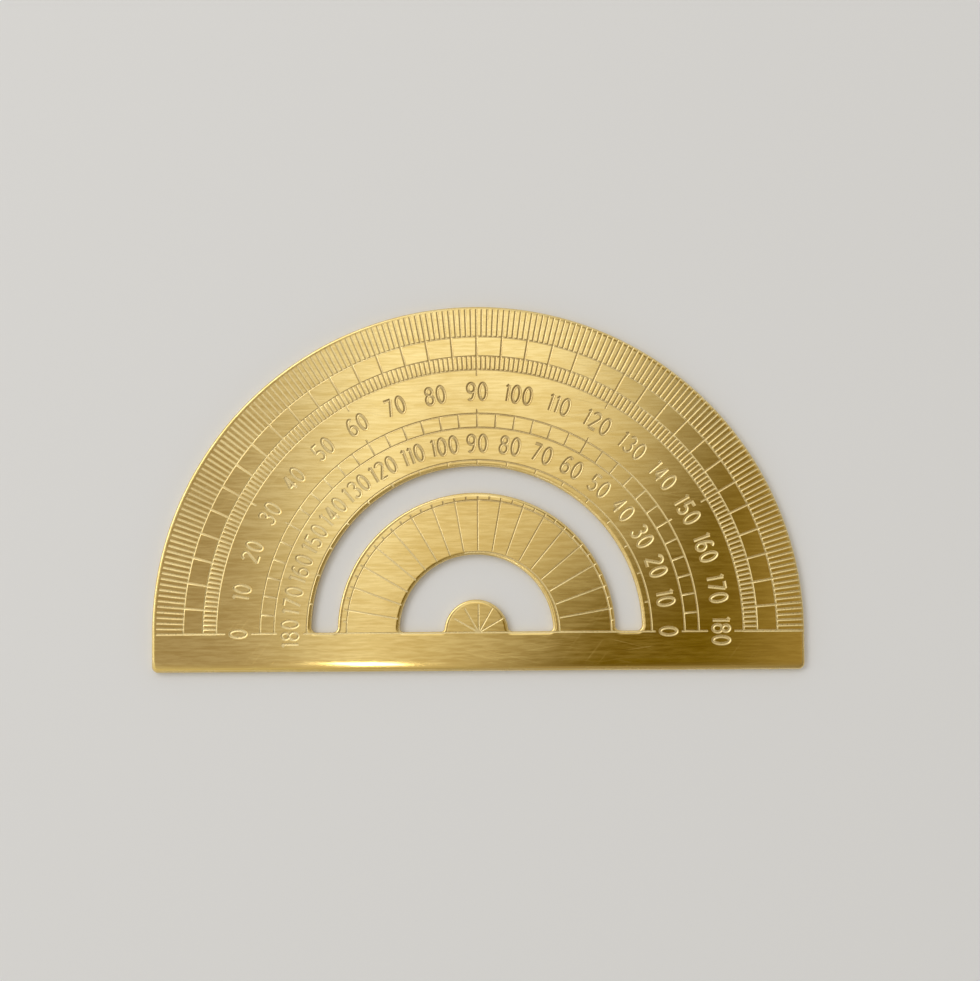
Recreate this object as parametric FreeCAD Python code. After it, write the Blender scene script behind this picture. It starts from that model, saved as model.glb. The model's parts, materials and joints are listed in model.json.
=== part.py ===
import FreeCAD, Part

import math
import os

Vector = FreeCAD.Vector

# Flat half-round brass protractor, lying on its back with the engraved face up.
# Millimetres. The origin is the centre of the arcs, on the back face. +X runs along the
# base to the 180 end of the outer scale, +Y to the top of the arc and +Z out of the face.

# Sheet and outline
plate_radius = 50.0
base_depth = 6.0
thickness = 1.2
base_corner_radius = 0.9

# Curved slot between the scale band and the ring
slot_outer = 25.4
slot_inner = 21.3
slot_corner_radius = 0.8

# Half-round window between the ring and the hub
window_radius = 11.8
hub_radius = 4.9
window_corner_radius = 0.6

# Edges: rolled over on the face, barely broken on the back
face_edge_radius = 0.35
back_edge_radius = 0.1

# Engraving. The whole pattern sits a little off the outline's centre.
pattern_x = 0.4
pattern_y = -0.12
engraving_depth = 0.2
tick_width = 0.36
line_width = 0.26
overrun = 0.8

# Outer scale, in radii from the pattern's centre
degree_outer = 49.75
degree_arc = 45.5
five_arc = 42.45
half_scale_arc = 40.4
thirty_reach = 39.4

# Inner scale
inner_scale_tip = 34.3
inner_scale_arc = 33.6
inner_scale_foot = 31.45

# Slot band, ring and hub
slot_band_arc = 26.45
ring_arc = 20.3
hub_line_tip = 4.3

# Numerals
digit_height = 3.1
digit_width = 1.4
digit_pitch = 1.8
one_width = 0.62
stroke = 0.28
outer_numerals = 37.0
inner_numerals = 29.0
numeral_gap = digit_height / 2 + 0.45


def at(radius, angle):
    """Point of the pattern at a radius and an angle in degrees from +X."""
    turn = math.radians(angle)
    x = pattern_x + radius * math.cos(turn)
    y = pattern_y + radius * math.sin(turn)
    return Vector(x, y, 0)


def face_of(edges):
    return Part.Face(Part.Wire(edges))


def arc_edge(centre, radius, start, end):
    """Arc about a centre, counter-clockwise from start to end, in degrees."""
    points = []
    for angle in (start, (start + end) / 2, end):
        turn = math.radians(angle)
        points.append(centre + Vector(radius * math.cos(turn), radius * math.sin(turn), 0))
    return Part.Arc(*points).toShape()


# The blank ---------------------------------------------------------------------------

def half_ring(outer, inner):
    """Prism of the upper half of a ring, with its two flat ends on the X axis."""
    edges = [
        arc_edge(Vector(), outer, 0, 180),
        Part.makeLine(Vector(-outer, 0, 0), Vector(-inner, 0, 0)),
        arc_edge(Vector(), inner, 0, 180),
        Part.makeLine(Vector(inner, 0, 0), Vector(outer, 0, 0)),
    ]
    return face_of(edges).extrude(Vector(0, 0, thickness))


def round_corners(solid, radius, chosen):
    """Round the upright edges whose place the chosen test accepts."""
    corners = []
    for edge in solid.Edges:
        upright = abs(edge.BoundBox.ZLength - thickness) < 1e-6 and edge.BoundBox.XLength < 1e-6
        if upright and chosen(edge.CenterOfMass):
            corners.append(edge)
    return solid.makeFillet(radius, corners)


def blank():
    """Sheet cut to its outline, with the slot and the window punched out."""
    edges = [
        arc_edge(Vector(), plate_radius, 0, 180),
        Part.makeLine(Vector(-plate_radius, 0, 0), Vector(-plate_radius, -base_depth, 0)),
        Part.makeLine(Vector(-plate_radius, -base_depth, 0), Vector(plate_radius, -base_depth, 0)),
        Part.makeLine(Vector(plate_radius, -base_depth, 0), Vector(plate_radius, 0, 0)),
    ]
    sheet = face_of(edges).extrude(Vector(0, 0, thickness))
    sheet = round_corners(sheet, base_corner_radius, lambda place: place.y < -base_depth + 0.1)
    slot = round_corners(half_ring(slot_outer, slot_inner), slot_corner_radius, lambda place: True)
    window = round_corners(half_ring(window_radius, hub_radius), window_corner_radius, lambda place: True)
    return sheet.cut([slot, window])


def roll_edges(solid, height, radius):
    """Round every edge that lies in the face at this height."""
    rims = []
    for edge in solid.Edges:
        box = edge.BoundBox
        if box.ZLength < 1e-6 and abs(box.ZMin - height) < 1e-6:
            rims.append(edge)
    return solid.makeFillet(radius, rims)


# Straight and curved lines --------------------------------------------------------------

def tick(angle, inner, outer, width=line_width):
    """Radial line, as a flat strip."""
    along = at(1, angle) - at(0, angle)
    across = Vector(-along.y, along.x, 0) * (width / 2)
    near = at(inner, angle)
    far = at(outer, angle)
    corners = [near - across, far - across, far + across, near + across, near - across]
    return Part.Face(Part.makePolygon(corners))


def arc_line(radius):
    """Half circle about the pattern's centre, as a flat strip."""
    outer = radius + line_width / 2
    inner = radius - line_width / 2
    edges = [
        arc_edge(at(0, 0), outer, 0, 180),
        Part.makeLine(at(outer, 180), at(inner, 180)),
        arc_edge(at(0, 0), inner, 0, 180),
        Part.makeLine(at(inner, 0), at(outer, 0)),
    ]
    return face_of(edges)


def merged(strips):
    """Overlapping strips as one flat shape."""
    return strips[0].fuse(strips[1:]).removeSplitter()


def outer_scale():
    """Degree ticks, five-degree cells and half-scale ticks, with the outer ends of the base line."""
    strips = [arc_line(radius) for radius in (degree_arc, five_arc, half_scale_arc)]
    for angle in range(181):
        foot = half_scale_arc
        if angle % 30 == 0:
            foot = thirty_reach
        strips.append(tick(angle, degree_arc, degree_outer, tick_width))
        strips.append(tick(angle, foot, five_arc, tick_width))
    for angle in range(0, 181, 5):
        strips.append(tick(angle, five_arc, degree_arc))
    for angle in (0, 180):
        strips.append(tick(angle, outer_numerals + numeral_gap, plate_radius + overrun))
    return merged(strips)


def inner_scale():
    """Five-degree cells of the inner scale, with the base line between the two end numerals."""
    strips = [arc_line(inner_scale_arc), arc_line(inner_scale_foot)]
    for angle in range(0, 181, 5):
        tip = inner_scale_arc
        if angle % 30 == 0:
            tip = inner_scale_tip
        strips.append(tick(angle, inner_scale_foot, tip))
    for angle in (0, 180):
        strips.append(tick(angle, inner_numerals + numeral_gap, outer_numerals - numeral_gap))
    return merged(strips)


def centre_lines():
    """Band beside the slot, lines of the ring and the hub, and the base line across them."""
    strips = [arc_line(slot_band_arc), arc_line(ring_arc)]
    for angle in range(0, 181, 10):
        strips.append(tick(angle, slot_outer - overrun, slot_band_arc))
        strips.append(tick(angle, window_radius - overrun, ring_arc))
    for angle in range(0, 181, 5):
        strips.append(tick(angle, ring_arc, slot_inner + overrun))
    for angle in range(30, 180, 30):
        strips.append(tick(angle, 0, hub_line_tip))
    line_end = inner_numerals - numeral_gap
    strips.append(tick(0, -line_end, line_end))
    return merged(strips)


# Numerals -------------------------------------------------------------------------------
# Each digit is one or more strokes, drawn upright about its own centre. A stroke is a chain
# of lines and arcs in order: ("line", x, y) goes straight to a point, and
# ("arc", x, y, sweep) turns through sweep degrees to a point, positive counter-clockwise.

half_width = (digit_width - stroke) / 2
half_height = (digit_height - stroke) / 2
bowl = half_width


def loop(low, high, reach):
    """Closed upright loop with round ends, from low to high."""
    return [(-reach, low + reach), ("line", -reach, high - reach), ("arc", reach, high - reach, -180),
            ("line", reach, low + reach), ("arc", -reach, low + reach, -180)]


def digit_strokes(digit):
    w = half_width
    h = half_height
    waist = 0.1
    strokes = {
        "0": [loop(-h, h, w)],
        "1": [[(-0.17, h - 0.42), ("line", 0.17, h), ("line", 0.17, -h)]],
        "2": [[(-w, h - bowl - 0.1), ("line", -w, h - bowl), ("arc", w, h - bowl, -180),
               ("line", w, h - bowl - 0.25), ("line", -w, -h), ("line", w, -h)]],
        "3": [[(-w, h - bowl), ("arc", w, h - bowl, -180), ("line", w, waist + bowl),
               ("arc", w - bowl, waist, -90), ("arc", w, waist - bowl, -90), ("line", w, bowl - h),
               ("arc", -w, bowl - h, -180)]],
        "4": [[(0.25, -h), ("line", 0.25, h), ("line", -w, -0.45 * h)],
              [(-w, -0.45 * h), ("line", w + 0.05, -0.45 * h)]],
        "5": [[(w - 0.08, h), ("line", 0.1 - w, h), ("line", -w, waist - 0.02), ("arc", w, waist - bowl, -160),
               ("line", w, bowl - h), ("arc", -w, bowl - h, -180)]],
        "6": [loop(-h, waist + 0.1, w), [(-w, bowl - h), ("line", -w, h - bowl), ("arc", w, h - bowl, -180)]],
        "7": [[(-w, h), ("line", w, h), ("line", -0.2, -h)]],
        "8": [loop(-h, waist, w), loop(waist, h, w - 0.05)],
        "9": [loop(-waist - 0.1, h, w), [(w, h - bowl), ("line", w, bowl - h), ("arc", -w, bowl - h, -180)]],
    }
    return strokes[digit]


def turned_arc(start, end, sweep):
    """Arc from start to end that turns through sweep degrees."""
    chord = end - start
    turn = math.radians(sweep)
    side = Vector(chord.y, -chord.x, 0)
    middle = (start + end) * 0.5 + side * (0.5 * math.tan(turn / 4))
    return Part.Arc(start, middle, end).toShape()


def straight_stroke(start, end):
    """Flat strip with round ends along one straight line."""
    along = end - start
    side = Vector(-along.y, along.x, 0) * (stroke / 2 / along.Length)
    edges = [
        Part.makeLine(start - side, end - side),
        turned_arc(end - side, end + side, 180),
        Part.makeLine(end + side, start + side),
        turned_arc(start + side, start - side, 180),
    ]
    return face_of(edges)


def stroke_face(chain):
    """Flat shape that the pen leaves along one chain."""
    pen = Vector(chain[0][0], chain[0][1], 0)
    edges = []
    for move in chain[1:]:
        target = Vector(move[1], move[2], 0)
        if move[0] == "line":
            edges.append(Part.makeLine(pen, target))
        else:
            edges.append(turned_arc(pen, target, move[3]))
        pen = target
    if len(edges) == 1:
        return straight_stroke(edges[0].firstVertex().Point, edges[0].lastVertex().Point)
    wire = Part.Wire(edges)
    rims = [wire.makeOffset2D(stroke / 2)]
    if wire.isClosed():
        rims.append(wire.makeOffset2D(-stroke / 2))
    return Part.makeFace(rims, "Part::FaceMakerBullseye")


def digit_shape(digit):
    strokes = [stroke_face(chain) for chain in digit_strokes(digit)]
    if len(strokes) == 1:
        return strokes[0]
    return merged(strokes)


def numeral(value, radius, angle):
    """A number standing upright on its radial line, centred on it."""
    text = str(value)
    widths = [one_width if digit == "1" else digit_width for digit in text]
    gap = digit_pitch - digit_width
    cursor = -(sum(widths) + gap * (len(text) - 1)) / 2
    shapes = []
    for digit, width in zip(text, widths):
        shape = digit_shape(digit)
        shape.translate(Vector(cursor + width / 2, radius, 0))
        shape.rotate(Vector(), Vector(0, 0, 1), angle - 90)
        shape.translate(at(0, 0))
        shapes.append(shape)
        cursor += width + gap
    return shapes


def numerals():
    shapes = []
    for value in range(0, 181, 10):
        shapes += numeral(value, outer_numerals, 180 - value)
        shapes += numeral(value, inner_numerals, value)
    return shapes


# Assembly -------------------------------------------------------------------------------

def engraving():
    """Every line and numeral as a body that reaches from the groove floor past the face."""
    bodies = []
    for shape in [outer_scale(), inner_scale(), centre_lines()] + numerals():
        for flat in shape.Faces:
            flat.translate(Vector(0, 0, thickness - engraving_depth))
            bodies.append(flat.extrude(Vector(0, 0, 2 * engraving_depth)))
    return bodies


def protractor_plate():
    plate = blank()
    plate = roll_edges(plate, thickness, face_edge_radius)
    plate = roll_edges(plate, 0, back_edge_radius)
    return plate.cut(engraving()).Solids[0]


os.makedirs("parts", exist_ok=True)
plate = protractor_plate()
plate.exportStep("parts/protractor_plate.step")
print("protractor_plate", len(plate.Solids), "solid", len(plate.Faces), "faces", round(plate.Volume, 1), "mm3")
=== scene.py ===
import json
from math import atan2, cos, degrees, hypot, pi, radians, sin, sqrt

import bmesh
import bpy
from mathutils import Matrix, Vector

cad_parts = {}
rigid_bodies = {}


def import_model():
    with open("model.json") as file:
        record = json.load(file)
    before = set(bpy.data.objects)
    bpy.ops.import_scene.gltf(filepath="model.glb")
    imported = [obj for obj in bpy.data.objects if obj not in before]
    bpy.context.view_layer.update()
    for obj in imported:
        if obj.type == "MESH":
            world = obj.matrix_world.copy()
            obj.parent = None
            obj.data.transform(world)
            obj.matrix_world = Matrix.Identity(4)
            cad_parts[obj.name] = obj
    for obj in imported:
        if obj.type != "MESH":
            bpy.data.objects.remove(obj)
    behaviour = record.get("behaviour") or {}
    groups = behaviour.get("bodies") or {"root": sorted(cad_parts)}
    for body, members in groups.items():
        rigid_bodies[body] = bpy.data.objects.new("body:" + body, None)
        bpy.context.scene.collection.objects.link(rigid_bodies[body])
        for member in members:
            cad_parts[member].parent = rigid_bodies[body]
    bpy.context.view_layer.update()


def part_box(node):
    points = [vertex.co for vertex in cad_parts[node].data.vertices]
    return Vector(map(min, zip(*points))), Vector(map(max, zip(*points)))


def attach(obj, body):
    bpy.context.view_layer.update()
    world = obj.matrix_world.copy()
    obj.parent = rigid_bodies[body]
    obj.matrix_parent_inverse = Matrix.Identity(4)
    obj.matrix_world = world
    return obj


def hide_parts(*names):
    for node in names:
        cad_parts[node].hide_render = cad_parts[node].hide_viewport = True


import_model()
plateLow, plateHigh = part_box("protractor_plate")
mm = 0.001
touching = 1e-7  # points nearer than this are one point
print("frame loaded, plate", [round(high - low, 5) for low, high in zip(plateLow, plateHigh)])


# helpers for points and objects

def ovalPoints(centreX, centreY, reachX, reachY, startDeg, endDeg, steps):
    points = []
    for step in range(steps + 1):
        turn = radians(startDeg + (endDeg - startDeg) * step / steps)
        points.append((centreX + reachX * cos(turn), centreY + reachY * sin(turn)))
    return points


def arcPoints(centreX, centreY, radius, startDeg, endDeg, steps):
    return ovalPoints(centreX, centreY, radius, radius, startDeg, endDeg, steps)


def linePoints(start, end, steps):  # the two ends are left out
    points = []
    for step in range(1, steps):
        share = step / steps
        points.append((start[0] + (end[0] - start[0]) * share, start[1] + (end[1] - start[1]) * share))
    return points


def plainMeshFrom(obj):  # evaluated mesh with the modifiers taken off
    depsgraph = bpy.context.evaluated_depsgraph_get()
    mesh = bpy.data.meshes.new_from_object(obj.evaluated_get(depsgraph))
    obj.modifiers.clear()
    return mesh


def addObject(name, data, collection=None):
    obj = bpy.data.objects.new(name, data)
    (collection or bpy.context.scene.collection).objects.link(obj)
    return obj


# helpers for geometry, material and world nodes

def feed(tree, socket, value):  # links another node's output, or sets a plain value
    if isinstance(value, bpy.types.NodeSocket):
        tree.links.new(value, socket)
    else:
        socket.default_value = value


def addNode(tree, kind, inputs=None, **properties):  # inputs are fed by name or by number
    node = tree.nodes.new(kind)
    for label, value in properties.items():
        setattr(node, label, value)
    for label, value in (inputs or {}).items():
        feed(tree, node.inputs[label], value)
    return node


def mathNode(tree, operation, first, second=0):
    return addNode(tree, "ShaderNodeMath", {0: first, 1: second}, operation=operation).outputs[0]


def joined(tree, operation, values):  # all the values put together, from the first one on
    result = values[0]
    for value in values[1:]:
        result = mathNode(tree, operation, result, value)
    return result


def vectorNumber(tree, operation, first, second):  # for the vector operations that give one number
    node = addNode(tree, "ShaderNodeVectorMath", {0: first, 1: second}, operation=operation)
    return node.outputs["Value"]


def vectorOf(tree, **parts):  # parts are X, Y and Z
    return addNode(tree, "ShaderNodeCombineXYZ", parts).outputs["Vector"]


# plate blank: outline, slot and window, each with its own edge form

plate = {
    "radius": plateHigh[0],
    "baseDepth": -plateLow[1],
    "thickness": plateHigh[2],
    "baseCorner": 0.9 * mm,
    "slotOuter": 25.4 * mm,
    "slotInner": 21.3 * mm,
    "slotCorner": 0.8 * mm,
    "windowRadius": 11.8 * mm,
    "hubRadius": 4.9 * mm,
    "windowCorner": 0.6 * mm,
    "faceEdge": 0.32 * mm,      # round edge on the engraved side, inwards over the face
    "faceEdgeFall": 0.26 * mm,  # and down the wall
    "backEdge": 0.1 * mm,       # sharper edge on the back
    "rollWidth": 0.62 * mm,     # shallow roll inside every edge
    "rollDrop": 0.018 * mm,
    "baseRollWidth": 1.7 * mm,  # wider roll along the base
    "baseRollDrop": 0.14 * mm,
    "baseRollCrowding": 0.8,    # under 1, its cuts crowd towards the flat face
    "baseRollSteps": 8,         # from here on, how many straight pieces each stretch has
    "rollSteps": 4,
    "faceEdgeSteps": 7,
    "backEdgeSteps": 2,
    "outlineSteps": 240,
    "slotSteps": 160,
    "windowSteps": 90,
    "baseSteps": 60,
    "baseEndSteps": 6,
    "baseCornerSteps": 8,
    "holeFootSteps": 4,
    "holeCornerSteps": 6,
}


def outlineLoop(inset):
    size = plate
    radius = size["radius"] - inset
    corner = size["baseCorner"] - inset
    cornerX = size["radius"] - size["baseCorner"]
    cornerY = -size["baseDepth"] + size["baseCorner"]
    foot = cornerY - corner
    points = arcPoints(0, 0, radius, 0, 180, size["outlineSteps"])
    points += linePoints((-radius, 0), (-radius, cornerY), size["baseEndSteps"])
    points += arcPoints(-cornerX, cornerY, corner, 180, 270, size["baseCornerSteps"])
    points += linePoints((-cornerX, foot), (cornerX, foot), size["baseSteps"])
    points += arcPoints(cornerX, cornerY, corner, 270, 360, size["baseCornerSteps"])
    points += linePoints((radius, cornerY), (radius, 0), size["baseEndSteps"])
    return points


def halfRingLoop(outer, inner, corner, inset, steps):  # inset goes into the metal, so the hole grows
    outerX = sqrt((outer - corner) ** 2 - corner ** 2)
    innerX = sqrt((inner + corner) ** 2 - corner ** 2)
    outerTurn = degrees(atan2(corner, outerX))
    innerTurn = degrees(atan2(corner, innerX))
    turnIn = corner + inset
    foot = -inset
    cornerSteps = plate["holeCornerSteps"]
    footSteps = plate["holeFootSteps"]
    points = arcPoints(0, 0, outer + inset, outerTurn, 180 - outerTurn, steps)
    points += arcPoints(-outerX, corner, turnIn, 180 - outerTurn, 270, cornerSteps)[1:]
    points += linePoints((-outerX, foot), (-innerX, foot), footSteps)
    points += arcPoints(-innerX, corner, turnIn, 270, 360 - innerTurn, cornerSteps)
    points += arcPoints(0, 0, inner - inset, 180 - innerTurn, innerTurn, steps)[1:-1]
    points += arcPoints(innerX, corner, turnIn, 180 + innerTurn, 270, cornerSteps)
    points += linePoints((innerX, foot), (outerX, foot), footSteps)
    points += arcPoints(outerX, corner, turnIn, 270, 360 + outerTurn, cornerSteps)[:-1]
    return points


def slotLoop(inset):
    size = plate
    return halfRingLoop(size["slotOuter"], size["slotInner"], size["slotCorner"], inset, size["slotSteps"])


def windowLoop(inset):
    size = plate
    corner = size["windowCorner"]
    return halfRingLoop(size["windowRadius"], size["hubRadius"], corner, inset, size["windowSteps"])


def edgeProfile():  # (inset, height) from the back, up the wall and over onto the face
    top = plate["thickness"]
    face = plate["faceEdge"]
    back = plate["backEdge"]
    drop = plate["rollDrop"]
    width = plate["rollWidth"]
    profile = []
    for step in range(plate["backEdgeSteps"] + 1):
        turn = radians(90 * step / plate["backEdgeSteps"])
        profile.append((back * (1 - sin(turn)), back * (1 - cos(turn))))
    for step in range(plate["faceEdgeSteps"] + 1):
        turn = radians(90 * step / plate["faceEdgeSteps"])
        profile.append((face * (1 - cos(turn)), top - drop - plate["faceEdgeFall"] * (1 - sin(turn))))
    for step in range(1, plate["rollSteps"] + 1):
        share = step / plate["rollSteps"]
        profile.append((face + (width - face) * share, top - drop * (1 - share) ** 2))
    return profile


def buildBlank():
    form = bmesh.new()
    edgeBands = plate["backEdgeSteps"] + 1 + plate["faceEdgeSteps"]  # the wall and its two rounded lips
    faceRims = []
    backRims = []
    for makeLoop in (outlineLoop, slotLoop, windowLoop):
        rings = []
        for inset, height in edgeProfile():
            rings.append([form.verts.new((x, y, height)) for x, y in makeLoop(inset)])
        count = len(rings[0])
        for band, (low, high) in enumerate(zip(rings, rings[1:])):
            for i in range(count):
                j = (i + 1) % count
                wall = form.faces.new((low[i], low[j], high[j], high[i]))
                wall.material_index = 1 if band < edgeBands else 0
        backRims += [form.edges.get((rings[0][i], rings[0][(i + 1) % count])) for i in range(count)]
        faceRims += [form.edges.get((rings[-1][i], rings[-1][(i + 1) % count])) for i in range(count)]
    bmesh.ops.triangle_fill(form, edges=backRims, use_beauty=True, normal=(0, 0, -1))
    bmesh.ops.triangle_fill(form, edges=faceRims, use_beauty=True, normal=(0, 0, 1))
    rollBase(form)
    bmesh.ops.recalc_face_normals(form, faces=form.faces)
    mesh = bpy.data.meshes.new("protractor_plate_visual")
    form.to_mesh(mesh)
    form.free()
    return mesh


def rollBase(form):  # the face falls away gently towards the base edge
    foot = -plate["baseDepth"]
    width = plate["baseRollWidth"]
    for step in range(plate["baseRollSteps"] + 1):
        share = (step / plate["baseRollSteps"]) ** plate["baseRollCrowding"]
        everything = form.verts[:] + form.edges[:] + form.faces[:]
        cutAt = (0, foot + width * share + plate["faceEdge"], 0)
        bmesh.ops.bisect_plane(form, geom=everything, dist=touching, plane_co=cutAt, plane_no=(0, 1, 0))
    bmesh.ops.triangulate(form, faces=[face for face in form.faces if len(face.verts) > 4])
    for vert in form.verts:
        reach = foot + width + plate["faceEdge"] - vert.co.y
        if reach > 0 and vert.co.z > plate["thickness"] / 2:
            vert.co.z -= plate["baseRollDrop"] * min(1, reach / width) ** 2


# engraving: every groove is a round pen drawn along its line and cut out of the blank

engraving = {
    "centreX": 0.4 * mm,        # the scales sit a little off the outline's centre
    "centreY": -0.12 * mm,
    "tickWidth": 0.42 * mm,
    "lineWidth": 0.32 * mm,
    "numeralWidth": 0.54 * mm,
    "depthShare": 0.27,         # groove depth over its width
    "penSides": 14,
    "degreeOuter": 49.75 * mm,
    "degreeArc": 45.5 * mm,
    "fiveArc": 42.45 * mm,
    "halfScaleArc": 40.4 * mm,
    "thirtyReach": 39.4 * mm,
    "innerTip": 34.3 * mm,
    "innerArc": 33.6 * mm,
    "innerFoot": 31.45 * mm,
    "slotBandOuter": 26.45 * mm,
    "ringArc": 20.3 * mm,
    "ringFoot": 12.35 * mm,
    "ringFootSweep": 100,       # degrees; further on it is lost in the window's edge
    "ringLineGap": 0.7,         # from that arc to the ring's lines, in line widths
    "hubTip": 4.3 * mm,
    "edgeGap": 0.4 * mm,        # grooves stop short of the rounded edges
    "arcStepsPerMm": 4,         # straight pieces in an arc, for each mm of its radius
    "arcStepsLeast": 60,
    "outerNumerals": 37.0 * mm,
    "innerNumerals": 29.0 * mm,
    "digitHeight": 3.1 * mm,
    "digitWidth": 1.66 * mm,
    "oneWidth": 0.88 * mm,
    "digitGap": 0.14 * mm,
    "numeralGap": 0.45 * mm,    # between a numeral and the base line
    "ovalStep": 15,             # degrees in each straight piece of a digit's curve
    "ovalStepsLeast": 6,
    "crispAngle": 38,           # degrees; corners sharper than this stay sharp
    "levelAngle": 1.5,          # degrees; a face nearer to level than this is shaded as level
}

socketKinds = {float: "NodeSocketFloat", int: "NodeSocketInt"}

penInputs = {
    "Pen radius": 0.16 * mm,
    "Pen sides": 12,
    "Pen height": 1.2 * mm,
    "Centre X": 0.0,
    "Centre Y": 0.0,
}


def newTree(name, inputs):  # inputs are name: default value
    tree = bpy.data.node_groups.new(name, "GeometryNodeTree")
    tree.interface.new_socket("Geometry", in_out="INPUT", socket_type="NodeSocketGeometry")
    tree.interface.new_socket("Geometry", in_out="OUTPUT", socket_type="NodeSocketGeometry")
    for label, value in inputs.items():
        socket = tree.interface.new_socket(label, in_out="INPUT", socket_type=socketKinds[type(value)])
        socket.default_value = value
    tree.interface.new_socket("Finish", in_out="INPUT", socket_type="NodeSocketMaterial")
    return tree, tree.nodes.new("NodeGroupInput").outputs


def penMesh(tree, source, curve):  # sweeps the round pen along a curve
    pen = {"Resolution": source["Pen sides"], "Radius": source["Pen radius"]}
    circle = addNode(tree, "GeometryNodeCurvePrimitiveCircle", pen).outputs["Curve"]
    path = {"Curve": curve, "Profile Curve": circle, "Fill Caps": True}
    return addNode(tree, "GeometryNodeCurveToMesh", path).outputs["Mesh"]


def closeTree(tree, source, geometry):  # shift to the scales' centre, realize, give the finish
    place = vectorOf(tree, X=source["Centre X"], Y=source["Centre Y"], Z=source["Pen height"])
    shifted = addNode(tree, "GeometryNodeTransform", {"Geometry": geometry, "Translation": place})
    real = addNode(tree, "GeometryNodeRealizeInstances", {"Geometry": shifted.outputs["Geometry"]})
    finish = {"Geometry": real.outputs["Geometry"], "Material": source["Finish"]}
    finished = addNode(tree, "GeometryNodeSetMaterial", finish)
    addNode(tree, "NodeGroupOutput", {"Geometry": finished.outputs["Geometry"]})
    return tree


def radialTree():  # straight grooves fanned about the centre, every so many left out
    inputs = {"Count": 181, "Step": radians(1), "Inner": 45 * mm, "Outer": 50 * mm, "Leave out every": 0}
    tree, source = newTree("radialGrooves", {**inputs, **penInputs})
    ends = {"Start": vectorOf(tree, X=source["Inner"]), "End": vectorOf(tree, X=source["Outer"])}
    line = addNode(tree, "GeometryNodeCurvePrimitiveLine", ends).outputs["Curve"]
    index = addNode(tree, "GeometryNodeInputIndex").outputs["Index"]
    every = source["Leave out every"]
    keep = mathNode(tree, "GREATER_THAN", mathNode(tree, "MODULO", index, every), 0.5)
    keepAll = mathNode(tree, "LESS_THAN", every, 0.5)
    fanned = {
        "Points": addNode(tree, "GeometryNodePoints", {"Count": source["Count"]}).outputs["Points"],
        "Selection": mathNode(tree, "MAXIMUM", keep, keepAll),
        "Instance": penMesh(tree, source, line),
        "Rotation": vectorOf(tree, Z=mathNode(tree, "MULTIPLY", index, source["Step"])),
    }
    return closeTree(tree, source, addNode(tree, "GeometryNodeInstanceOnPoints", fanned).outputs["Instances"])


def arcTree():  # one groove round the centre
    tree, source = newTree("arcGroove", {"Radius": 40 * mm, "Sweep": pi, "Steps": 181, **penInputs})
    bend = {
        "Radius": source["Radius"],
        "Start Angle": 0,
        "Sweep Angle": source["Sweep"],
        "Resolution": source["Steps"],
    }
    line = addNode(tree, "GeometryNodeCurveArc", bend, mode="RADIUS").outputs["Curve"]
    return closeTree(tree, source, penMesh(tree, source, line))


def strokeTree():  # one pen stroke along the curve that it is given
    tree, source = newTree("penStroke", penInputs)
    return closeTree(tree, source, penMesh(tree, source, source["Geometry"]))


def runTree(tree, obj, values):
    modifier = obj.modifiers.new(tree.name, "NODES")
    modifier.node_group = tree
    for item in tree.interface.items_tree:
        if item.item_type == "SOCKET" and item.in_out == "INPUT" and item.name in values:
            modifier[item.identifier] = values[item.name]
    return plainMeshFrom(obj)


def penFor(width):  # a round pen whose cut has this width and depth in the face
    depth = width * engraving["depthShare"]
    radius = (width * width / 4 + depth * depth) / (2 * depth)
    return {
        "Pen radius": radius,
        "Pen sides": engraving["penSides"],
        "Pen height": plate["thickness"] + radius - depth,
        "Finish": finishes["groove"],
    }


def grooveValues(width, **others):
    centre = {"Centre X": engraving["centreX"], "Centre Y": engraving["centreY"]}
    return {**penFor(width), **centre, **others}


def fan(name, inner, outer, step, width, leaveOut=0):
    values = grooveValues(width, Inner=inner, Outer=outer, Step=radians(step), Count=int(180 / step) + 1)
    values["Leave out every"] = leaveOut
    holder = addObject(name, bpy.data.meshes.new(name), cutters)
    holder.data = runTree(trees["radial"], holder, values)


def arc(name, radius, sweep=180):
    steps = max(engraving["arcStepsLeast"], int(radius / mm * engraving["arcStepsPerMm"]))
    values = grooveValues(engraving["lineWidth"], Radius=radius, Sweep=radians(sweep), Steps=steps)
    holder = addObject(name, bpy.data.meshes.new(name), cutters)
    holder.data = runTree(trees["arc"], holder, values)


def strokeMesh(name, points, closed, values):  # a pen stroke from point to point
    curve = bpy.data.curves.new(name, "CURVE")
    curve.dimensions = "3D"
    spline = curve.splines.new("POLY")
    spline.points.add(len(points) - 1)
    for point, (x, y) in zip(spline.points, points):
        point.co = (x, y, 0, 1)
    spline.use_cyclic_u = closed
    holder = addObject(name, curve)
    mesh = runTree(trees["stroke"], holder, values)
    bpy.data.objects.remove(holder)
    return mesh


def straight(name, start, end, turn=0):
    across = cos(radians(turn))
    along = sin(radians(turn))
    points = [(start * across, start * along), (end * across, end * along)]
    addObject(name, strokeMesh(name, points, False, grooveValues(engraving["lineWidth"])), cutters)


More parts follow.
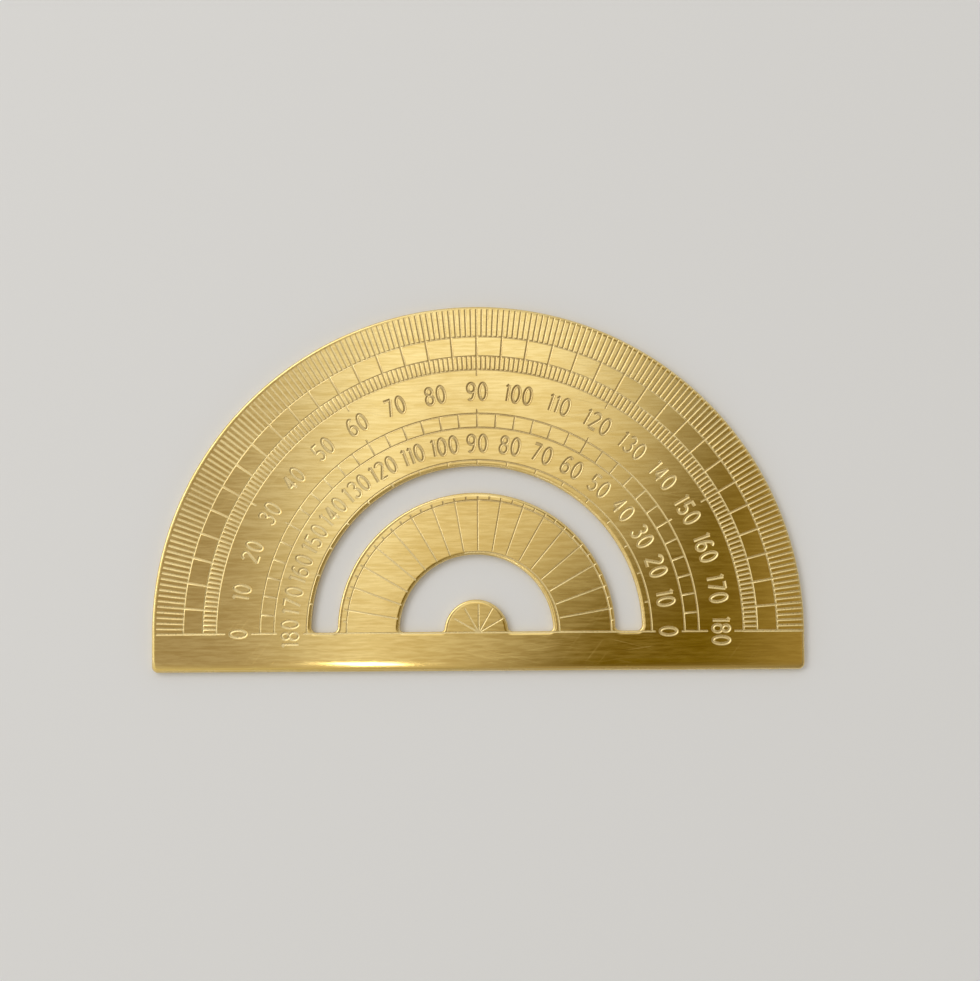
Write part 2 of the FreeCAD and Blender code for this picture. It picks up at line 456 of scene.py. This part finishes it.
def cutScales():
    size = engraving
    tick = size["tickWidth"]
    line = size["lineWidth"]
    gap = size["edgeGap"]
    fan("degreeTicks", size["degreeArc"], size["degreeOuter"], 1, tick, leaveOut=5)
    fan("halfScaleTicks", size["halfScaleArc"], size["fiveArc"], 1, tick, leaveOut=5)
    fan("fiveTicks", size["halfScaleArc"], size["degreeOuter"], 5, tick)
    fan("thirtyTicks", size["thirtyReach"], size["fiveArc"] - tick, 30, line)
    fan("innerCells", size["innerFoot"], size["innerArc"], 5, line)
    fan("innerTips", size["innerArc"] - line, size["innerTip"], 30, line)
    fan("slotBandTicks", plate["slotOuter"] + gap, size["slotBandOuter"], 10, line)
    fan("ringTicks", size["ringArc"], plate["slotInner"] - gap, 5, line)
    fan("ringLines", size["ringFoot"] + size["ringLineGap"] * line, size["ringArc"] + line, 10, line)
    for turn in range(30, 180, 30):
        straight("hubLine", 0, size["hubTip"], turn)
    arcs = ("degreeArc", "fiveArc", "halfScaleArc", "innerArc", "innerFoot", "slotBandOuter", "ringArc")
    for label in arcs:
        arc(label, size[label])
    arc("ringFoot", size["ringFoot"], size["ringFootSweep"])


def cutBaseLine():  # the 0-180 line stops short of the numerals that stand on it
    size = engraving
    gap = size["digitHeight"] / 2 + size["numeralGap"]
    for side in (-1, 1):
        straight("baseOuter", side * (size["outerNumerals"] + gap), side * size["degreeOuter"])
        straight("baseMiddle", side * (size["innerNumerals"] + gap), side * (size["outerNumerals"] - gap))
    inner = size["innerNumerals"] - gap
    straight("baseInner", -inner, inner)


def oval(centreX, centreY, reachX, reachY, startDeg, endDeg):  # part of an upright oval, open or closed
    steps = max(engraving["ovalStepsLeast"], round(abs(endDeg - startDeg) / engraving["ovalStep"]))
    return ovalPoints(centreX, centreY, reachX, reachY, startDeg, endDeg, steps)


def digitStrokes():  # pen paths about each digit's centre
    w = (engraving["digitWidth"] - engraving["numeralWidth"]) / 2
    h = (engraving["digitHeight"] - engraving["numeralWidth"]) / 2
    bowl = 0.56 * h         # half the height of a lower bowl
    cap = h - bowl          # half the height of an upper one
    hook = 0.3 * w          # of the one
    stem = 0.4 * w          # of the four, with its bar
    bar = -0.4 * h
    neck = (-0.8 * w, 0.05 * h)     # of the five
    six = [oval(0, bowl - h, w, bowl, 0, 360), oval(0.15 * w, bowl - h, 1.15 * w, 2 * h - bowl, 62, 180)]
    return {
        "0": [oval(0, 0, w, h, 0, 360)],
        "1": [[(hook, h), (hook, -h)], [(-hook, h - 2.4 * hook), (hook, h)]],
        "2": [oval(0, h - w, w, w, 170, -20) + [(-w, -h)], [(-w, -h), (w, -h)]],
        "3": [oval(0, h - cap, 0.9 * w, cap, 155, -90), oval(0, bowl - h, w, bowl, 90, -155)],
        "4": [[(stem, h), (stem, -h)], [(stem, h), (-w, bar)], [(-w, bar), (w, bar)]],
        "5": [
            [(0.85 * w, h), (-0.75 * w, h)],
            [(-0.75 * w, h), neck],
            [neck] + oval(0, bowl - h, w, bowl, 115, -150),
        ],
        "6": six,
        "7": [[(-w, h), (w, h)], [(w, h), (-0.3 * w, -h)]],
        "8": [oval(0, bowl - h, w, bowl, 0, 360), oval(0, h - cap, 0.85 * w, cap, 0, 360)],
        "9": [[(-x, -y) for x, y in path] for path in six],
    }


def digitCutters():
    shapes = {}
    for digit, paths in digitStrokes().items():
        shapes[digit] = []
        for number, points in enumerate(paths):
            closed = hypot(points[0][0] - points[-1][0], points[0][1] - points[-1][1]) < touching
            if closed:
                points = points[:-1]
            name = "digit" + digit + "stroke" + str(number)
            shapes[digit].append(strokeMesh(name, points, closed, penFor(engraving["numeralWidth"])))
    return shapes


def cutNumeral(shapes, value, radius, angle):
    text = str(value)
    widths = [engraving["oneWidth"] if digit == "1" else engraving["digitWidth"] for digit in text]
    cursor = -(sum(widths) + engraving["digitGap"] * (len(text) - 1)) / 2
    centre = Matrix.Translation((engraving["centreX"], engraving["centreY"], 0))
    upright = centre @ Matrix.Rotation(radians(angle - 90), 4, "Z")
    for digit, width in zip(text, widths):
        place = upright @ Matrix.Translation((cursor + width / 2, radius, 0))
        for shape in shapes[digit]:
            addObject("numeral", shape, cutters).matrix_world = place
        cursor += width + engraving["digitGap"]


def cutNumerals():
    shapes = digitCutters()
    for value in range(0, 181, 10):
        cutNumeral(shapes, value, engraving["outerNumerals"], 180 - value)
        cutNumeral(shapes, value, engraving["innerNumerals"], value)


def engrave(blank):
    cut = blank.modifiers.new("engrave", "BOOLEAN")
    cut.operation = "DIFFERENCE"
    cut.solver = "MANIFOLD"
    cut.material_mode = "TRANSFER"
    cut.operand_type = "COLLECTION"
    cut.collection = cutters
    bpy.context.view_layer.update()
    return plainMeshFrom(blank)


def softenMesh(mesh):  # smooth faces, with the groove lips and other hard corners kept sharp
    form = bmesh.new()
    form.from_mesh(mesh)
    bmesh.ops.remove_doubles(form, verts=form.verts, dist=touching)
    bmesh.ops.dissolve_degenerate(form, dist=touching, edges=form.edges)
    for face in form.faces:
        face.smooth = True
    crisp = radians(engraving["crispAngle"])
    for edge in form.edges:
        edge.smooth = len(edge.link_faces) == 2 and edge.calc_face_angle(0) < crisp
    form.to_mesh(mesh)
    form.free()
    up = Vector((0, 0, 1))
    level = cos(radians(engraving["levelAngle"]))
    normals = [corner.vector.copy() for corner in mesh.corner_normals]
    mesh.normals_split_custom_set([up if normal.z > level else normal for normal in normals])


finishes = {
    "plate": bpy.data.materials.new("brushedBrass"),
    "edge": bpy.data.materials.new("edgeBrass"),
    "groove": bpy.data.materials.new("grooveBrass"),
}
trees = {"radial": radialTree(), "arc": arcTree(), "stroke": strokeTree()}
cutters = bpy.data.collections.new("cutters")
bpy.context.scene.collection.children.link(cutters)

plateObject = addObject("plate", buildBlank())
plateObject.data.materials.append(finishes["plate"])
plateObject.data.materials.append(finishes["edge"])
print("blank", len(plateObject.data.polygons), "faces")
cutScales()
cutBaseLine()
cutNumerals()
plateObject.data = engrave(plateObject)
softenMesh(plateObject.data)
for cutter in list(cutters.objects):
    bpy.data.objects.remove(cutter)
bpy.data.collections.remove(cutters)
print("engraved plate", len(plateObject.data.polygons), "faces")
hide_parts("protractor_plate")
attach(plateObject, "root")
print("plate placed")


# brass finishes: what they share, then the face, the rims and the grooves

brass = {
    "colour": (0.77, 0.55, 0.155, 1),
    "warmTarnish": (0.66, 0.43, 0.13, 1),
    "tarnishBand": (0.45, 0.75),    # the part of the cloud's values over which it sets in
    "tarnishShare": 0.3,
    "cloud": (20 * mm, 13 * mm, 4),     # marks are given as length, width and fine detail
    "cloudTurn": 12,
    "markRoughness": 0.55,          # of the marks' own noise
    "coatWeight": 0.4,              # clear lacquer
    "coatRoughness": 0.08,
    "bumpDepth": 0.01 * mm,
}


def remap(tree, value, band, low=0, high=1, soft=False):  # the band of values becomes low to high
    inputs = {"Value": value, "From Min": band[0], "From Max": band[1], "To Min": low, "To Max": high}
    kind = "SMOOTHSTEP" if soft else "LINEAR"
    return addNode(tree, "ShaderNodeMapRange", inputs, interpolation_type=kind).outputs["Result"]


def mixColour(tree, share, first, second):
    return addNode(tree, "ShaderNodeMix", {0: share, 6: first, 7: second}, data_type="RGBA").outputs[2]


def stretchedNoise(tree, coords, marks, turn=0):
    length, width, detail = marks
    place = {"Vector": coords, "Scale": (length, width, width), "Rotation": (0, 0, radians(turn))}
    placed = addNode(tree, "ShaderNodeMapping", place, vector_type="TEXTURE").outputs["Vector"]
    noise = {"Vector": placed, "Scale": 1, "Detail": detail, "Roughness": brass["markRoughness"]}
    return addNode(tree, "ShaderNodeTexNoise", noise).outputs["Fac"]


def startBrass(material):
    material.use_nodes = True
    tree = material.node_tree
    shader = tree.nodes["Principled BSDF"]
    shader.inputs["Metallic"].default_value = 1
    return tree, shader, addNode(tree, "ShaderNodeTexCoord").outputs["Object"]


def addLacquer(shader):
    shader.inputs["Coat Weight"].default_value = brass["coatWeight"]
    shader.inputs["Coat Roughness"].default_value = brass["coatRoughness"]


def addBump(tree, shader, height, strength):
    inputs = {"Height": height, "Strength": strength, "Distance": brass["bumpDepth"]}
    feed(tree, shader.inputs["Normal"], addNode(tree, "ShaderNodeBump", inputs).outputs["Normal"])


def tarnished(tree, cloud):
    share = remap(tree, cloud, brass["tarnishBand"], 0, brass["tarnishShare"])
    return mixColour(tree, share, brass["colour"], brass["warmTarnish"])


brushing = {
    "hairline": (5 * mm, 0.14 * mm, 3),
    "grain": (2.8 * mm, 0.36 * mm, 2),
    "streak": (22 * mm, 0.8 * mm, 2),
    "pale": (0.97, 0.75, 0.28, 1),
    "paleBand": (0.38, 0.62),
    "paleShares": {"grain": 0.5, "streak": 0.3, "hairline": 0.2},
    "reliefShares": {"hairline": 0.06, "grain": 0.09, "streak": 0.05},
    "wave": (30 * mm, 20 * mm, 0),      # the sheet is never quite flat
    "waveTurn": 30,
    "waveHeight": 12,
    "bump": 0.2,
    "skin": (0.1 * mm, 0.02 * mm),      # the brushing fades out over this depth
    "roughness": 0.085,
    "paleRoughness": (-0.01, 0.02),     # added to it by the brushing,
    "cloudBand": (0.4, 0.7),            # by the clouds
    "cloudRoughness": 0.03,
    "scratchRoughness": 0.06,           # and by the scratches
    "scratch": (16 * mm, 0.13 * mm, 0),
    "scratchTurns": (9, -14, 52),
    "scratchBand": (0.76, 0.8),
    "scratchPatch": (14 * mm, 14 * mm, 1),
    "scratchPatchBand": (0.5, 0.6),
    "scratchPale": 0.4,
    "scratchDepth": 0.3,
    "anisotropy": 0.6,
    "anisotropyTurn": 0.25,
    "mapWidth": 100 * mm,
}


def scratches(tree, coords):  # sparse fine lines across the brushing
    patches = stretchedNoise(tree, coords, brushing["scratchPatch"])
    patches = remap(tree, patches, brushing["scratchPatchBand"])
    lines = []
    for turn in brushing["scratchTurns"]:
        line = stretchedNoise(tree, coords, brushing["scratch"], turn)
        lines.append(remap(tree, line, brushing["scratchBand"]))
    return mathNode(tree, "MULTIPLY", joined(tree, "MAXIMUM", lines), patches)


def flatSkin(tree, coords):  # 1 on the face and the back, 0 between them
    deep, shallow = brushing["skin"]
    height = addNode(tree, "ShaderNodeSeparateXYZ", {"Vector": coords}).outputs["Z"]
    face = remap(tree, height, (plate["thickness"] - deep, plate["thickness"] - shallow))
    return mathNode(tree, "MAXIMUM", face, remap(tree, height, (shallow, deep), 1, 0))


def brushedBrass(material):
    tree, shader, coords = startBrass(material)
    marks = {name: stretchedNoise(tree, coords, brushing[name]) for name in ("hairline", "grain", "streak")}
    cloud = stretchedNoise(tree, coords, brass["cloud"], brass["cloudTurn"])
    scratch = scratches(tree, coords)
    skin = flatSkin(tree, coords)

    shares = brushing["paleShares"].items()
    pale = [remap(tree, marks[name], brushing["paleBand"], 0, share) for name, share in shares]
    pale = mathNode(tree, "MULTIPLY", joined(tree, "ADD", pale), skin)
    colour = mixColour(tree, pale, tarnished(tree, cloud), brushing["pale"])
    scratched = mathNode(tree, "MULTIPLY", scratch, brushing["scratchPale"])
    feed(tree, shader.inputs["Base Color"], mixColour(tree, scratched, colour, brushing["pale"]))

    rough = joined(tree, "ADD", [
        remap(tree, pale, (0, 1), *brushing["paleRoughness"]),
        brushing["roughness"],
        remap(tree, cloud, brushing["cloudBand"], 0, brushing["cloudRoughness"]),
        mathNode(tree, "MULTIPLY", scratch, brushing["scratchRoughness"]),
    ])
    feed(tree, shader.inputs["Roughness"], rough)

    shares = brushing["reliefShares"].items()
    relief = joined(tree, "ADD", [remap(tree, marks[name], (0, 1), -share, share) for name, share in shares])
    depth = mathNode(tree, "MULTIPLY", scratch, brushing["scratchDepth"])
    relief = mathNode(tree, "MULTIPLY", mathNode(tree, "SUBTRACT", relief, depth), skin)
    wave = stretchedNoise(tree, coords, brushing["wave"], brushing["waveTurn"])
    wave = mathNode(tree, "MULTIPLY", wave, brushing["waveHeight"])
    addBump(tree, shader, mathNode(tree, "ADD", relief, wave), brushing["bump"])

    addLacquer(shader)
    tangent = addNode(tree, "ShaderNodeTangent", direction_type="UV_MAP", uv_map="brushing")
    feed(tree, shader.inputs["Tangent"], tangent.outputs["Tangent"])
    shader.inputs["Anisotropic"].default_value = brushing["anisotropy"]
    shader.inputs["Anisotropic Rotation"].default_value = brushing["anisotropyTurn"]


def addBrushingMap(mesh):  # flat map over the plate, so the tangent runs with the brushing
    layer = mesh.uv_layers.new(name="brushing")
    width = brushing["mapWidth"]
    for loop in mesh.loops:
        place = mesh.vertices[loop.vertex_index].co
        layer.data[loop.index].uv = (place.x / width + 0.5 + place.z, place.y / width + 0.5 + place.z)


rims = {
    "rubbed": (0.88, 0.69, 0.31, 1),
    "rub": (4 * mm, 1.5 * mm, 2),
    "rubBand": (0.35, 0.65),
    "rubShares": (0.4, 1),
    "roughnessBand": (0.3, 0.7),
    "roughness": (0.32, 0.23),
    "bump": 0.1,
}


def edgeBrass(material):  # rims and walls, rubbed pale and smooth by handling
    tree, shader, coords = startBrass(material)
    cloud = stretchedNoise(tree, coords, brass["cloud"], brass["cloudTurn"])
    rub = stretchedNoise(tree, coords, rims["rub"])
    share = remap(tree, rub, rims["rubBand"], *rims["rubShares"])
    feed(tree, shader.inputs["Base Color"], mixColour(tree, share, tarnished(tree, cloud), rims["rubbed"]))
    feed(tree, shader.inputs["Roughness"], remap(tree, rub, rims["roughnessBand"], *rims["roughness"]))
    addLacquer(shader)
    addBump(tree, shader, rub, rims["bump"])


grooves = {
    "colour": (0.93, 0.75, 0.36, 1),
    # the dark colour below serves both the dirt patches and the painted shade near the crown
    "dirtAndShade": (0.5, 0.34, 0.12, 1),
    "paintedShadePlace": (2 * mm, 32 * mm, 1 * mm),     # painted shade in the grooves, darkest near the crown
    "paintedShadeReach": (8 * mm, 28 * mm),
    "paintedShadeShares": (0.62, 0.1),
    "patchBand": (0.4, 0.7),                    # and more or less dirt on top of it, in patches
    "patchShares": (-0.1, 0.25),
    "speck": (0.3 * mm, 0.2 * mm, 3),
    "speckBand": (0.3, 0.7),
    "roughness": (0.24, 0.36),
    "bump": 0.3,
}


def grooveBrass(material):  # matt, a little dirty, with painted shade darkening it towards the crown, and no lacquer left
    tree, shader, coords = startBrass(material)
    speck = stretchedNoise(tree, coords, grooves["speck"])
    # painted shade: the grooves are darkened towards the crown of the scale, by place alone
    away = vectorNumber(tree, "DISTANCE", coords, grooves["paintedShadePlace"])
    paintedCrownShade = remap(tree, away, grooves["paintedShadeReach"], *grooves["paintedShadeShares"], soft=True)
    cloud = stretchedNoise(tree, coords, brass["cloud"])
    patches = remap(tree, cloud, grooves["patchBand"], *grooves["patchShares"])
    dirtAndShade = remap(tree, mathNode(tree, "ADD", paintedCrownShade, patches), (0, 1))
    feed(tree, shader.inputs["Base Color"], mixColour(tree, dirtAndShade, grooves["colour"], grooves["dirtAndShade"]))
    feed(tree, shader.inputs["Roughness"], remap(tree, speck, grooves["speckBand"], *grooves["roughness"]))
    addBump(tree, shader, speck, grooves["bump"])


brushedBrass(finishes["plate"])
edgeBrass(finishes["edge"])
grooveBrass(finishes["groove"])
addBrushingMap(plateObject.data)
print("finishes made")


# studio: floor and camera, lamps, sky

studio = {
    "floorColour": (0.84, 0.84, 0.83, 1),
    "floorRoughness": 0.9,
    "floorReach": 3,
    "floorDrop": 0.02 * mm,         # just clear of the plate's back
    "cameraPlace": (9.0 * mm, 12.3 * mm, 250 * mm),
    "cameraTurn": (2.13, 1.56, -0.47),
    "sensorWidth": 36,
    "lens": 59.58,
    "nearest": 10 * mm,
}


def paleFloor():
    form = bmesh.new()
    bmesh.ops.create_grid(form, x_segments=1, y_segments=1, size=studio["floorReach"])
    mesh = bpy.data.meshes.new("floor")
    form.to_mesh(mesh)
    form.free()
    floor = addObject("floor", mesh)
    floor.location.z = -studio["floorDrop"]
    material = bpy.data.materials.new("paleFloor")
    material.use_nodes = True
    shader = material.node_tree.nodes["Principled BSDF"]
    shader.inputs["Base Color"].default_value = studio["floorColour"]
    shader.inputs["Roughness"].default_value = studio["floorRoughness"]
    mesh.materials.append(material)


def addCamera():
    data = bpy.data.cameras.new("camera")
    camera = addObject("camera", data)
    camera.location = studio["cameraPlace"]
    camera.rotation_euler = [radians(turn) for turn in studio["cameraTurn"]]
    data.sensor_fit = "HORIZONTAL"
    data.sensor_width = studio["sensorWidth"]
    data.lens = studio["lens"]
    data.clip_start = studio["nearest"]
    bpy.context.scene.camera = camera


lamps = {
    "keyBox": {                     # high at the back left, for the groove walls and the rims
        "place": (-0.56, 0.38, 0.74),
        "aim": (0, 0.02, 0),
        "width": 1.0,
        "length": 0.4,
        "power": 2.6,
        "turn": 0,
    },
    "baseBox": {                    # small and overhead, for the glint along the base
        "place": (-0.123, -0.245, 1.0),
        "aim": (-0.02, 0, 0),
        "width": 0.04,
        "length": 0.1,
        "power": 0.1,
        "turn": 34,
    },
}


def softbox(name, place, aim, width, length, power, turn):
    light = bpy.data.lights.new(name, "AREA")
    light.shape = "RECTANGLE"
    light.size = width
    light.size_y = length
    light.energy = power
    lamp = addObject(name, light)
    facing = (Vector(aim) - Vector(place)).to_track_quat("-Z", "Y").to_matrix().to_4x4()
    lamp.matrix_world = Matrix.Translation(place) @ facing @ Matrix.Rotation(radians(turn), 4, "Z")


# bands are in parts of a direction's X, Y or height, which run from -1 to 1
sky = {
    "backdrop": (0.82, 0.82, 0.81, 1),      # all round, just above the floor
    "backdropBand": (0.15, 0.55),
    "sideAxis": (-0.8, 0.6, 0),             # towards the back left
    "sideBand": (-0.5, 0.1),
    "paleSide": (0.88, 0.88, 0.88, 1),      # low sky at the back left
    "dimSide": (0.3, 0.26, 0.2, 1),         # low sky at the front right
    "lowShade": (0.1, 0.09, 0.07, 1),       # the low sky leans to this on its way down
    "lowShadeBand": (0.42, 0.86),
    "lowShadeShare": 0.38,
    "overheadBand": (0.895, 0.962),         # from here up is what the flat face mirrors
    "dimLeft": (0.41, 0.36, 0.33, 1),
    "leftBand": (-0.206, -0.074),
    "dimRight": (0.163, 0.115, 0.0, 1),
    "farRight": (0.37, 0.29, 0.13, 1),
    "farRightBand": (0.1, 0.17),
    "patchFront": (0.84, 0.79, 0.77, 1),    # the bright patch, front and back
    "patchBack": (1.15, 1.17, 1.34, 1),
    "patchDepthBand": (0.044, 0.124),
    "patchCentre": (-0.376, 0.202, 0),      # its right side is a long curve
    "patchEdge": (0.393, 0.517),
    "patchSquash": 2.5,
    "patchFoot": -0.039,
    "patchHead": 0.15,
    "columnPlace": -0.143,                  # its bright back reaches forward here, on the left
    "columnEdge": (0.042, 0.076),
    "columnReach": 0.139,
}


def patchShape(tree, across, forward):  # 1 in the bright patch, falling to 0 past its right side
    depth = mathNode(tree, "MAXIMUM", forward, sky["patchFoot"])
    depth = mathNode(tree, "MINIMUM", depth, sky["patchHead"])
    place = vectorOf(tree, X=across, Y=mathNode(tree, "MULTIPLY", depth, sky["patchSquash"]))
    away = vectorNumber(tree, "DISTANCE", place, sky["patchCentre"])
    return remap(tree, away, sky["patchEdge"], 1, 0, True)


def patchColour(tree, across, forward):  # brighter to the back, and down a column on the left
    offColumn = mathNode(tree, "ABSOLUTE", mathNode(tree, "SUBTRACT", across, sky["columnPlace"]))
    column = remap(tree, offColumn, sky["columnEdge"], sky["columnReach"], 0, True)
    depth = remap(tree, mathNode(tree, "ADD", forward, column), sky["patchDepthBand"])
    return mixColour(tree, depth, sky["patchFront"], sky["patchBack"])


def overheadSky(tree, across, forward):
    farRight = remap(tree, across, sky["farRightBand"], soft=True)
    right = mixColour(tree, farRight, sky["dimRight"], sky["farRight"])
    colour = mixColour(tree, patchShape(tree, across, forward), right, patchColour(tree, across, forward))
    return mixColour(tree, remap(tree, across, sky["leftBand"], soft=True), sky["dimLeft"], colour)


def lowSky(tree, direction, height):
    towards = vectorNumber(tree, "DOT_PRODUCT", direction, sky["sideAxis"])
    side = remap(tree, towards, sky["sideBand"], soft=True)
    colour = mixColour(tree, side, sky["dimSide"], sky["paleSide"])
    shade = remap(tree, height, sky["lowShadeBand"], sky["lowShadeShare"], 0, True)
    return mixColour(tree, shade, colour, sky["lowShade"])


def studioWorld():
    world = bpy.data.worlds.new("studio")
    bpy.context.scene.world = world
    world.use_nodes = True
    tree = world.node_tree
    direction = addNode(tree, "ShaderNodeTexCoord").outputs["Generated"]
    across, forward, height = addNode(tree, "ShaderNodeSeparateXYZ", {"Vector": direction}).outputs
    overhead = remap(tree, height, sky["overheadBand"], soft=True)
    colour = mixColour(tree, overhead, lowSky(tree, direction, height), overheadSky(tree, across, forward))
    raised = remap(tree, height, sky["backdropBand"], soft=True)
    colour = mixColour(tree, raised, sky["backdrop"], colour)
    feed(tree, tree.nodes["Background"].inputs["Color"], colour)


paleFloor()
for lampName, settings in lamps.items():
    softbox(lampName, **settings)
studioWorld()
addCamera()
bpy.context.scene.view_settings.view_transform = "Standard"
print("studio ready")
